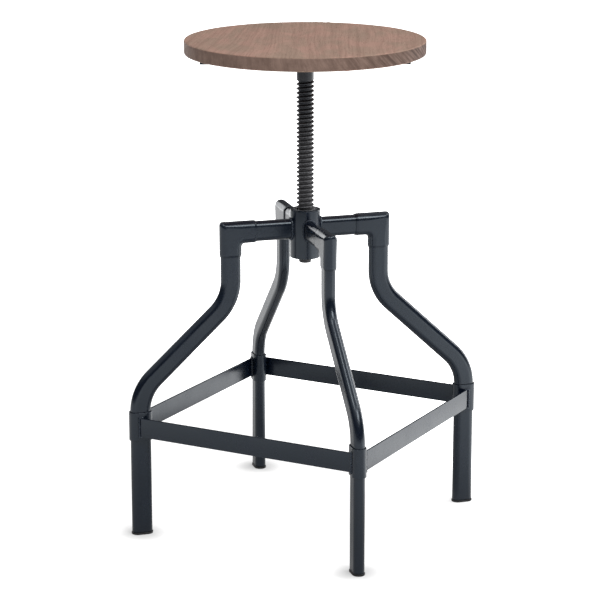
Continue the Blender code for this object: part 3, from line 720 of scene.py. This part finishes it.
class STOOL_OT_hub(bpy.types.Operator):
    """Round hub, the threaded nut inside its top, and the weld beads around the four arms"""

    bl_idname = "stool.hub"
    bl_label = "Hub and nut"

    def execute(self, context):
        base, screw = context.scene.stool_base, context.scene.stool_screw
        low, high = HUB_LOW[2], HUB_HIGH[2]
        soft = 0.0012
        corners = [(HUB_BORE, low), (HUB_RADIUS, low), (HUB_RADIUS, high), (HUB_BORE, high)]
        profile = softened(corners, [soft / 2, soft, soft, soft / 3], closed=True)
        piece("hub_barrel", [lattice(revolved(profile[:, 0], profile[:, 1]), wrap_rows=True)],
              coat_finish(), "base", ["hub"])
        self.nut(screw)
        for corner, degrees in CORNERS.items():
            self.arm_bead(base, corner, degrees)
        return {"FINISHED"}

    def nut(self, screw):
        """Nut whose bore follows the thread: root + thread reach + clearance, opened at both ends."""
        low, high = NUT_LOW[2], NUT_HIGH[2]
        outer = NUT_HIGH[0]
        turn = np.linspace(0.0, FULL_TURN, HUB_COLUMNS, endpoint=False)[None, :]
        up = np.linspace(high, low, 90)[:, None]
        root = SCREW_RADIUS - screw.depth + screw.clearance
        bore = root + thread_reach(crest_distance(up, turn, screw), screw)
        mouth = SCREW_RADIUS + screw.clearance + 0.0006 - np.minimum(high - up, up - low)
        bore = np.maximum(bore, mouth)
        wall = softened([(outer, low), (outer, high)], [0.0004, 0.0004])
        wall[:, 0] = np.minimum(wall[:, 0], outer)
        rim = np.array([[outer - 0.0004, low], *wall.tolist(), [outer - 0.0004, high]])
        shape = np.concatenate([revolved(rim[:, 0], rim[:, 1]), revolved(bore, up + 0.0 * turn)])
        piece("nut_ring", [lattice(shape, wrap_rows=True)], coat_finish(), "base", ["hub_nut"])

    def arm_bead(self, base, corner, degrees):
        """Bead where an arm meets the hub: it follows the arm's oval on the hub's round side."""
        along, across = ovals(TUBE_WIDE, TUBE_NARROW)
        path = evenly(np.stack([across[0], along[0]], axis=-1), BEAD_STEP)
        side, up = path[:, 0], path[:, 1]
        centre = (TUBE_WIDE - TUBE_NARROW) / 2
        normal_up = np.sign(up) * np.maximum(np.abs(up) - centre, 0.0)
        size = np.maximum(np.hypot(side, normal_up), MERGE)
        outward = np.stack([0 * side, side / size, normal_up / size], axis=-1)
        middle = (ARM_LOW[2] + ARM_HIGH[2]) / 2
        reach = np.sqrt(HUB_RADIUS ** 2 - side ** 2)
        axis = np.stack([reach / HUB_RADIUS, side / HUB_RADIUS, 0 * side], axis=-1)
        place = np.stack([reach, side, middle + up], axis=-1)
        weld("hub_weld_" + corner, bead(place, axis, outward, base.weld_size, base.weld_ripple), degrees)


class STOOL_OT_arms(bpy.types.Operator):
    """Four level arms of flat-sided oval tube, cut to the round of the hub"""

    bl_idname = "stool.arms"
    bl_label = "Arms"

    def execute(self, context):
        base = context.scene.stool_base
        for corner, degrees in CORNERS.items():
            low, high = spread("arm_" + corner, degrees)
            share_out = np.array(STATIONS)
            station, inset, slide = walled(len(share_out), base.tube_wall)
            along, across = ovals(TUBE_WIDE - 2 * inset, TUBE_NARROW - 2 * inset)
            start = np.sqrt(HUB_RADIUS ** 2 - across ** 2)
            out = start + (high[0] - start) * share_out[station][:, None] + slide[:, None]
            shape = np.stack([out, across, (low[2] + high[2]) / 2 + along], axis=-1)
            tube("arm_tube_" + corner, shape, degrees, "arm_" + corner)
        return {"FINISHED"}


def elbow_route(low, high, base):
    """Rings of an elbow, from the arm's mouth round the corner to the leg's mouth.

    Around the corner the rings stand on rays from the crook's centre, from the crook's radius to the rounded
    outer corner, and each oval is stretched between those two points.
    """
    wide = TUBE_WIDE + (high[1] - low[1]) - TUBE_NARROW
    centre_out, centre_up = high[0] - wide - base.elbow_crook, high[2] - wide - base.elbow_crook
    reach = wide + base.elbow_crook
    inner = reach - base.elbow_corner
    turn = np.linspace(math.pi / 2, 0.0, 12)
    arc_out, arc_up = inner + base.elbow_corner * np.cos(turn), inner + base.elbow_corner * np.sin(turn)
    flat = np.array([0.0, 0.2, 0.4, 0.6, 0.8, 0.93]) * inner
    edge_out = np.concatenate([flat, arc_out, np.full(6, reach)])
    edge_up = np.concatenate([np.full(6, reach), arc_up, flat[::-1]])
    ray, far = np.arctan2(edge_up, edge_out), np.hypot(edge_out, edge_up)
    middle = (far + base.elbow_crook) / 2
    step = np.array([0.0, 0.0006, 0.0012, 0.002, 0.0028, 0.0036, 0.005, 0.009])
    arm_out, leg_up = low[0] + step, (low[2] + step)[::-1]
    axis = (reach + base.elbow_crook) / 2
    out = np.concatenate([arm_out, centre_out + middle * np.cos(ray), np.full(len(step), centre_out + axis)])
    up = np.concatenate([np.full(len(step), centre_up + axis), centre_up + middle * np.sin(ray), leg_up])
    tilt = np.concatenate([np.full(len(step), math.pi / 2), ray, np.zeros(len(step))])
    widths = np.concatenate([np.full(len(step), wide), far - base.elbow_crook, np.full(len(step), wide)])
    fall = 0.8 * base.elbow_wall * (1 - smooth_step(step / base.mouth_length))
    taper = np.concatenate([fall * 0.6, np.zeros(len(ray)), fall[::-1]])
    return out, up, tilt, widths, taper


class STOOL_OT_elbows(bpy.types.Operator):
    """Four sleeve elbows that join the arms to the legs"""

    bl_idname = "stool.elbows"
    bl_label = "Elbows"

    def execute(self, context):
        base = context.scene.stool_base
        for corner, degrees in CORNERS.items():
            low, high = spread("elbow_" + corner, degrees)
            out, up, tilt, wide, taper = elbow_route(low, high, base)
            shape = carried(out, up, tilt, wide, high[1] - low[1], base.elbow_wall, taper)
            tube("elbow_sleeve_" + corner, shape, degrees, "elbow_" + corner)
        return {"FINISHED"}


def leg_route(corner, degrees, base):
    """Middle line of a leg: straight down, a bend out, a straight slant, a bend back, and straight down.

    With R the bend's radius, the slant is asin(2 R / h) - atan((2 R - out) / down), where out and down are
    what the two bends and the slant cover and h = hypot(down, 2 R - out).
    """
    low, high = spread("leg_" + corner, degrees)
    near, far = low[0] + TUBE_WIDE / 2, high[0] - TUBE_WIDE / 2
    start = spread("elbow_" + corner, degrees)[0][2] - base.leg_straight
    end = spread("collar_" + corner, degrees)[1][2]
    radius, down = base.bend_radius, start - end
    spare = 2 * radius - (far - near)
    slant = math.asin(2 * radius / math.hypot(down, spare)) - math.atan2(spare, down)
    turn = np.linspace(0.0, slant, 26)
    above = np.linspace(high[2], start, 8)[:-1]
    below = np.linspace(end, low[2], 10)[1:]
    out = np.concatenate([np.full(len(above), near), near + radius * (1 - np.cos(turn)),
                          far - radius * (1 - np.cos(turn[::-1])), np.full(len(below), far)])
    up = np.concatenate([above, start - radius * np.sin(turn), end + radius * np.sin(turn[::-1]), below])
    tilt = np.concatenate([0 * above, turn, turn[::-1], 0 * below])
    return out, up, tilt


class STOOL_OT_legs(bpy.types.Operator):
    """Four bent legs of flat-sided oval tube"""

    bl_idname = "stool.legs"
    bl_label = "Legs"

    def execute(self, context):
        base = context.scene.stool_base
        for corner, degrees in CORNERS.items():
            out, up, tilt = leg_route(corner, degrees, base)
            shape = carried(out, up, tilt, TUBE_WIDE, TUBE_NARROW, base.tube_wall)
            tube("leg_tube_" + corner, shape, degrees, "leg_" + corner)
        return {"FINISHED"}


class STOOL_OT_collars(bpy.types.Operator):
    """Four collars around the feet of the legs, which carry the footrest"""

    bl_idname = "stool.collars"
    bl_label = "Collars"

    def execute(self, context):
        base = context.scene.stool_base
        for corner, degrees in CORNERS.items():
            low, high = spread("collar_" + corner, degrees)
            up = high[2] - (high[2] - low[2]) * np.array(STATIONS)
            out = np.full(len(up), (low[0] + high[0]) / 2)
            shape = carried(out, up, 0.0 * up, high[0] - low[0], high[1] - low[1], base.collar_wall)
            tube("collar_band_" + corner, shape, degrees, "collar_" + corner)
        return {"FINISHED"}


class STOOL_OT_footrest(bpy.types.Operator):
    """Four flat footrest bars, cut at both ends to lie along the collars and welded to them"""

    bl_idname = "stool.footrest"
    bl_label = "Footrest"

    def execute(self, context):
        base = context.scene.stool_base
        low, high = spread("footrest_bar_front")
        middle = (low[2] + high[2]) / 2
        half_thick, half_tall = (high[1] - low[1]) / 2, (high[2] - low[2]) / 2
        line = (low[1] + high[1]) / 2
        corners = [(-half_thick, -half_tall), (half_thick, -half_tall), (half_thick, half_tall),
                   (-half_thick, half_tall)]
        section = softened(corners, [base.bar_edge] * 4, closed=True, steps=5)
        ring = evenly(section * np.array([1.2, 1.03]), BEAD_STEP)
        shape = self.strip(section, high[0] - half_thick + TOUCH, line, middle)
        for side, degrees in SIDES.items():
            piece("footrest_strip_" + side, [lattice(turned(shape, degrees))],
                  coat_finish(), "base", ["footrest_bar_" + side])
            for end, sign in (("a", -1.0), ("b", 1.0)):
                rope = self.end_bead(base, ring, sign, high[0] - half_thick, line, middle)
                weld(f"bar_weld_{side}_{end}", rope, degrees)
        return {"FINISHED"}

    def strip(self, section, reach, line, middle):
        """Bar section carried along X: x = share * (reach - across), so that each end slants an eighth turn.

        The end faces close on a middle point.
        """
        half = np.array([0.4, 0.8, 0.98, 1.0, 1.0, 1.0])
        share_out = np.concatenate([-half[::-1], [0.0], half])[:, None]
        shrink = np.array([0.0, 0.5] + [1.0] * 9 + [0.5, 0.0])[:, None]
        across, up = section[:, 0] * shrink, section[:, 1] * shrink
        return np.stack([share_out * (reach - across), line + across, middle + up], axis=-1)

    def end_bead(self, base, ring, sign, reach, line, middle):
        """Bead around a bar's end, flat against the collar: it follows the bar's slanted end face."""
        across, up = ring[:, 0], ring[:, 1]
        path = np.stack([sign * (reach - across), line + across, middle + up], axis=-1)
        into = np.array([sign, 1.0, 0.0]) * math.sqrt(0.5)
        step = np.roll(path, -1, axis=0) - np.roll(path, 1, axis=0)
        outward = np.cross(step, into)
        outward /= np.linalg.norm(outward, axis=1, keepdims=True)
        into = np.broadcast_to(into, path.shape)
        return bead(path, into, outward, base.weld_size * 0.8, base.weld_ripple)


class STOOL_OT_feet(bpy.types.Operator):
    """Four moulded foot plugs, pushed into the ends of the legs"""

    bl_idname = "stool.feet"
    bl_label = "Foot plugs"

    def execute(self, context):
        base = context.scene.stool_base
        for corner, degrees in CORNERS.items():
            low, high = spread("foot_plug_" + corner, degrees)
            insert = base.tube_wall + FIT + base.foot_proud
            flange, inner = low[2] + base.foot_flange, 0.004
            corners = [(inner, low[2]), (0.0, low[2]), (0.0, flange), (insert, flange), (insert, high[2]),
                       (inner, high[2])]
            profile = softened(corners, [0.0, 0.0009, 0.0006, 0.0, 0.0008, 0.0])
            inset, up = profile[:, 0], np.concatenate([[low[2]], profile[:, 1], [high[2]]])[:, None]
            wide = np.concatenate([[0.0], high[0] - low[0] - 2 * inset, [0.0]])
            narrow = np.concatenate([[0.0], high[1] - low[1] - 2 * inset, [0.0]])
            along, across = ovals(wide, narrow)
            shape = np.stack([(low[0] + high[0]) / 2 + along, across, up + 0 * along], axis=-1)
            piece("foot_glide_" + corner, [lattice(turned(shape, degrees))],
                  plastic_finish(), "base", ["foot_plug_" + corner])
        return {"FINISHED"}


# ---- Screw, neck and seat ------------------------------------------------------------------------

class STOOL_OT_lift_screw(bpy.types.Operator):
    """Lifting screw with its cut thread, the plain end below and the spindle inside the neck"""

    bl_idname = "stool.lift_screw"
    bl_label = "Lifting screw"

    def execute(self, context):
        screw = context.scene.stool_screw
        low, high = SCREW_LOW[2] + screw.nub_length, NECK_LOW[2] - FIT
        core = SCREW_RADIUS - screw.depth
        nub = softened([(0.0, SCREW_LOW[2]), (screw.nub_radius, SCREW_LOW[2]),
                        (screw.nub_radius, low - 0.0004), (core, low)], [0.0, 0.0016, 0.0, 0.0])
        spindle = softened([(core, high), (SPINDLE_RADIUS, high), (SPINDLE_RADIUS, SCREW_HIGH[2]),
                            (0.0, SCREW_HIGH[2])], [0.0, 0.0, 0.0006, 0.0])
        skins = [self.thread(screw, low, high, core)]
        skins += [lattice(revolved(profile[:, 0], profile[:, 1])) for profile in (nub, spindle)]
        piece("lifting_thread", skins, steel_finish(), "seat_assembly", ["lift_screw"], 30.0)
        return {"FINISHED"}

    def thread(self, screw, low, high, core):
        """Right-hand thread on a slanted grid, so that each row stays on one line of the thread.

        Height = crest height + pitch * (row + turn), held between both ends; radius = root + reach, faded at
        both ends. The last column meets the first one turn higher.
        """
        first = math.floor((low - screw.crest_height) / screw.pitch) - 1
        turns = math.ceil((high - low) / screw.pitch) + 3
        row = np.arange(turns * ROWS_PER_PITCH + 1)[:, None] / ROWS_PER_PITCH
        turn = np.linspace(0.0, FULL_TURN, HUB_COLUMNS, endpoint=False)[None, :]
        up = screw.crest_height + screw.pitch * (first + row + turn / FULL_TURN)
        distance = np.abs((row + 0.5) % 1.0 - 0.5) * screw.pitch + 0 * turn
        up = np.clip(up, low, high)
        fade = smooth_step((up - low) / 0.0012) * smooth_step((high - up) / 0.0014)
        points = revolved(core + thread_reach(distance, screw) * fade, up)
        rows, columns = points.shape[:2]
        index = np.arange(rows * columns).reshape(rows, columns)
        above = np.minimum(np.arange(rows) + ROWS_PER_PITCH, rows - 1)
        return points.reshape(-1, 3), index_faces(np.hstack([index, index[above, :1]]))


class STOOL_OT_neck(bpy.types.Operator):
    """Plain neck sleeve that the screw's spindle turns in"""

    bl_idname = "stool.neck"
    bl_label = "Neck sleeve"

    def execute(self, context):
        low, high = NECK_LOW[2], NECK_HIGH[2]
        corners = [(NECK_BORE, low), (NECK_RADIUS, low), (NECK_RADIUS, high), (NECK_BORE, high)]
        profile = softened(corners, [0.0003, 0.0009, 0.0005, 0.0003], closed=True)
        piece("neck_tube", [lattice(revolved(profile[:, 0], profile[:, 1]), wrap_rows=True)],
              steel_finish(), "neck", ["neck_sleeve"])
        return {"FINISHED"}


class STOOL_OT_bracket(bpy.types.Operator):
    """Folded steel channel under the seat, open below, with its four wood screws"""

    bl_idname = "stool.bracket"
    bl_label = "Bracket and wood screws"

    def execute(self, context):
        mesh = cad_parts["seat_bracket"].data.copy()
        form = bmesh.new()
        form.from_mesh(mesh)
        bmesh.ops.remove_doubles(form, verts=form.verts, dist=MERGE)
        bmesh.ops.dissolve_limit(form, angle_limit=math.radians(0.5), verts=form.verts, edges=form.edges)
        form.to_mesh(mesh)
        form.free()
        channel = placed("bracket_channel", mesh, coat_finish(), "seat_assembly",
                         ["seat_bracket"], 38.0)
        soften = channel.modifiers.new("edges", "BEVEL")
        soften.width, soften.segments = 0.0005, 2
        soften.limit_method, soften.angle_limit = "ANGLE", math.radians(45)
        for number in range(1, 5):
            self.wood_screw(f"wood_screw_{number}")
        return {"FINISHED"}

    def wood_screw(self, node):
        """Domed screw head with a cross recess, on a shank with a pointed end.

        Head height = dome - recess, where the recess is as deep as the nearer arm of the cross allows.
        """
        low, high = spread(node)
        centre, head = (low[:2] + high[:2]) / 2, (high[0] - low[0]) / 2
        rise, rim, recess = 0.0019, 0.0005, 0.0013
        shank, point = 0.0021, 0.003
        face = low[2] + rise + rim
        turn = np.linspace(0.0, FULL_TURN, SCREW_COLUMNS, endpoint=False)[None, :]
        reach = head * np.linspace(0.0, 1.0, 30)[:, None]
        dome = rise * (1 - (reach / head) ** 2) ** 0.5
        x, y = np.abs(reach * np.cos(turn)), np.abs(reach * np.sin(turn))
        arm = smooth_step((0.0007 - np.minimum(x, y)) / 0.0003)
        arm = arm * smooth_step((0.0024 - np.maximum(x, y)) / 0.0006)
        cap = revolved(reach + 0 * turn, face - rim - dome + recess * arm, SCREW_COLUMNS)
        stem = softened([(head, face), (shank, face), (shank, high[2] - point), (0.0, high[2])],
                        [0.0003, 0.0, 0.0008, 0.0])
        shape = np.concatenate([cap, revolved(stem[:, 0], stem[:, 1], SCREW_COLUMNS)])
        shape = shape + np.array([centre[0], centre[1], 0.0])
        piece("plated_" + node, [lattice(shape)], zinc_finish(), "seat_assembly", [node],
              50.0)


class STOOL_OT_seat(bpy.types.Operator):
    """Round wooden seat with a crisp, slightly eased edge, a few rim ridges and one small splinter"""

    bl_idname = "stool.seat"
    bl_label = "Seat"

    def execute(self, context):
        seat = context.scene.stool_seat
        low, high = SEAT_LOW[2], SEAT_HIGH[2]
        flat = SEAT_RADIUS * 0.97
        ridges, splinter = np.radians([106.2, 109.8, 112.5]), math.radians(317.8)
        ridge_high, splinter_deep, worn = 0.0005, 0.0006, 0.0001
        corners = [(flat, high), (SEAT_RADIUS, high), (SEAT_RADIUS, low), (flat, low)]
        edge = softened(corners, [0.0, seat.top_round, seat.bottom_round, 0.0], steps=8)
        rings = SEAT_RADIUS * np.array([0.0, 0.12, 0.3, 0.5, 0.7, 0.85, 0.93])
        radius = np.concatenate([rings, edge[:, 0], rings[::-1]])[:, None]
        up = np.concatenate([0 * rings + high, edge[:, 1], 0 * rings + low])[:, None]
        turn = np.linspace(0.0, FULL_TURN, SEAT_COLUMNS, endpoint=False)[None, :]
        rim = smooth_step((radius / SEAT_RADIUS - 0.9) / 0.08)
        waver = 0.00012 * np.sin(3 * turn + 0.7) + 0.00008 * np.sin(8 * turn + 2.1)
        radius = radius - rim * (0.00024 + waver + 0.00004 * np.sin(19 * turn))
        wear = worn * (1 + np.sin(11 * turn + 0.4) * np.sin(4 * turn))
        on_top = up > (low + high) / 2
        ridge = np.exp(-(((turn[..., None] - ridges) / 0.012) ** 2)).sum(axis=-1)
        chip = np.exp(-((turn - splinter) / 0.014) ** 2)
        up = up + rim * np.where(on_top, ridge_high * ridge - wear, -splinter_deep * chip)
        piece("seat_disc", [lattice(revolved(radius, up, SEAT_COLUMNS))], wood_finish(), "seat_assembly",
              ["seat"])
        return {"FINISHED"}


# ---- Stage ---------------------------------------------------------------------------------------

def softbox(name, bearing, distance, height, wide, tall, strength):
    """Rectangular studio light at a bearing from the stool, turned to face it."""
    lamp = bpy.data.lights.new(name, "AREA")
    lamp.shape = "RECTANGLE"
    lamp.size, lamp.size_y = wide, tall
    lamp.energy = strength * math.pi * wide * tall
    made = bpy.data.objects.new(name, lamp)
    bpy.context.scene.collection.objects.link(made)
    around = math.radians(bearing)
    place = np.array([distance * math.cos(around), distance * math.sin(around), height])
    way = np.array([0.0, 0.0, AIM_HEIGHT]) - place
    level = math.hypot(way[0], way[1])
    made.location = place
    tilt, facing = math.atan2(way[2], level), math.atan2(way[1], way[0])
    made.rotation_euler = (math.pi / 2 + tilt, 0.0, facing - math.pi / 2)


class STOOL_OT_stage(bpy.types.Operator):
    """Camera, pale floor, studio walls and soft lights"""

    bl_idname = "stool.stage"
    bl_label = "Stage"

    def execute(self, context):
        stage = context.scene.stool_stage
        context.scene.view_settings.view_transform = "Standard"
        lens = bpy.data.cameras.new("camera")
        lens.lens, lens.sensor_width = stage.lens, stage.sensor
        camera = bpy.data.objects.new("camera", lens)
        context.scene.collection.objects.link(camera)
        out, side = stage.distance * math.cos(stage.bearing), stage.distance * math.sin(stage.bearing)
        camera.location = (out, side, stage.height)
        camera.rotation_euler = (math.pi / 2 - stage.pitch, 0.0, stage.bearing + math.pi / 2 + stage.yaw)
        context.scene.camera = camera
        self.floor()
        self.walls(stage)
        back = math.degrees(stage.bearing) + 180.0
        softbox("light_back_right", back - 56.0, 2.6, 0.75, 1.3, 1.5, 4.0)
        softbox("light_back_left", back + 36.0, 2.6, 0.75, 1.2, 1.5, 3.0)
        softbox("light_over", back + 212.0, 1.9, 2.05, 1.3, 0.8, 9.0)
        softbox("light_right", back + 272.0, 1.7, 2.3, 0.8, 1.0, 6.0)
        softbox("light_left", back + 155.0, 1.2, 2.4, 0.7, 0.6, 8.0)
        return {"FINISHED"}

    def floor(self):
        """Flat floor: rings of points at height 0 from the middle out."""
        radius = np.array([0.0, 0.5, 1.5, 4.0, 12.0, 40.0])
        turn = np.linspace(0.0, FULL_TURN, 72, endpoint=False)[None, :]
        points = np.stack([radius[:, None] * np.cos(turn), radius[:, None] * np.sin(turn),
                           0 * radius[:, None] * turn], axis=-1)
        flat, faces = lattice(points)
        mesh = bpy.data.meshes.new("floor")
        mesh.from_pydata(flat.tolist(), [], faces.tolist())
        form = bmesh.new()
        form.from_mesh(mesh)
        bmesh.ops.remove_doubles(form, verts=form.verts, dist=MERGE)
        bmesh.ops.recalc_face_normals(form, faces=form.faces)
        form.to_mesh(mesh)
        form.free()
        if mesh.polygons[0].normal.z < 0:
            mesh.flip_normals()
        mesh.materials.append(floor_finish())
        floor = bpy.data.objects.new("floor", mesh)
        bpy.context.scene.collection.objects.link(floor)

    def walls(self, stage):
        """Studio: dim walls and a wide soft light overhead, plain white to the eye."""
        world = bpy.data.worlds.new("studio")
        world.use_nodes = True
        tree = world.node_tree
        backdrop = tree.nodes["Background"]
        way = put(tree, "TexCoord").outputs["Generated"]
        glow = levels(tree, up_of(tree, way), 0.33, 0.68, stage.wall, stage.ceiling, True)
        seen = put(tree, "LightPath").outputs["Is Camera Ray"]
        strength = put(tree, "Mix", {0: seen, 2: glow, 3: 1.0}, data_type="FLOAT").outputs[0]
        backdrop.inputs["Color"].default_value = (1.0, 1.0, 1.0, 1.0)
        fill(tree, backdrop.inputs["Strength"], strength)
        bpy.context.scene.world = world


PROPS = (("stool_base", StoolBaseProps), ("stool_screw", StoolScrewProps), ("stool_seat", StoolSeatProps),
         ("stool_stage", StoolStageProps))
STEPS = (STOOL_OT_stage, STOOL_OT_hub, STOOL_OT_arms, STOOL_OT_elbows, STOOL_OT_legs, STOOL_OT_collars,
         STOOL_OT_footrest, STOOL_OT_feet, STOOL_OT_lift_screw, STOOL_OT_neck, STOOL_OT_bracket,
         STOOL_OT_seat)


class STOOL_PT_panel(bpy.types.Panel):
    """Lists the steps that build the stool, and its sizes and colours"""

    bl_idname = "STOOL_PT_panel"
    bl_label = "Stool"
    bl_space_type = "VIEW_3D"
    bl_region_type = "UI"
    bl_category = "Stool"

    def draw(self, context):
        for step in STEPS:
            self.layout.operator(step.bl_idname)
        for name, group in PROPS:
            box = self.layout.box()
            box.label(text=name.replace("_", " "))
            for key in group.__annotations__:
                box.prop(getattr(context.scene, name), key)


def register():
    """Adds the groups of sizes, the steps and the panel."""
    for name, group in PROPS:
        bpy.utils.register_class(group)
        setattr(bpy.types.Scene, name, PointerProperty(type=group))
    for step in STEPS:
        bpy.utils.register_class(step)
    bpy.utils.register_class(STOOL_PT_panel)


def unregister():
    """Takes them away again, last first."""
    bpy.utils.unregister_class(STOOL_PT_panel)
    for step in reversed(STEPS):
        bpy.utils.unregister_class(step)
    for name, group in reversed(PROPS):
        delattr(bpy.types.Scene, name)
        bpy.utils.unregister_class(group)


def main():
    """Builds the stage and every piece in order."""
    register()
    bpy.ops.stool.stage()
    bpy.ops.stool.hub()
    bpy.ops.stool.arms()
    bpy.ops.stool.elbows()
    bpy.ops.stool.legs()
    bpy.ops.stool.collars()
    bpy.ops.stool.footrest()
    bpy.ops.stool.feet()
    bpy.ops.stool.lift_screw()
    bpy.ops.stool.neck()
    bpy.ops.stool.bracket()
    bpy.ops.stool.seat()


if __name__ == "__main__":
    main()
